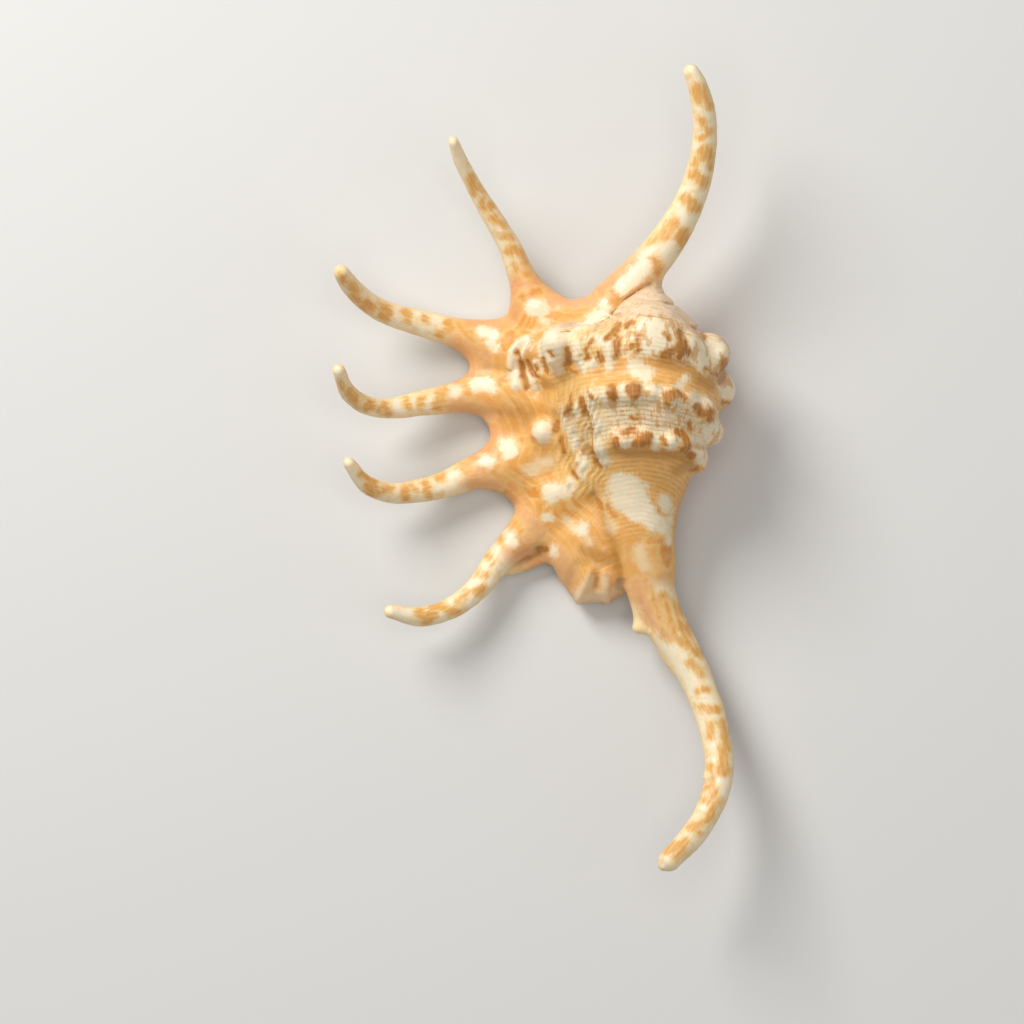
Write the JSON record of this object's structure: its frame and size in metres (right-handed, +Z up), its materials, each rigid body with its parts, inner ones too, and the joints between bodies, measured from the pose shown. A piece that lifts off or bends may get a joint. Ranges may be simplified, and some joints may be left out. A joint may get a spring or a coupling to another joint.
{
  "type": "spider conch shell",
  "caption": "Whole spider conch shell with six curved lip fingers and a long siphonal canal, resting on its opening with its knobbed back up.",
  "frame": {"origin": "centre of the bounding box on the surface that the shell rests on", "axes": "+Z up through the knobbed back, +Y towards the spire and the posterior finger, -Y along the siphonal canal, -X towards the fingers of the outer lip"},
  "size_m": [0.1009, 0.2017, 0.0391],
  "materials": {
    "shell": "natural shell: cream and orange-tan, mottled, satin on the back and polished round the opening"
  },
  "bodies": {
    "root": {"shell": "shell"}
  },
  "joints": []
}
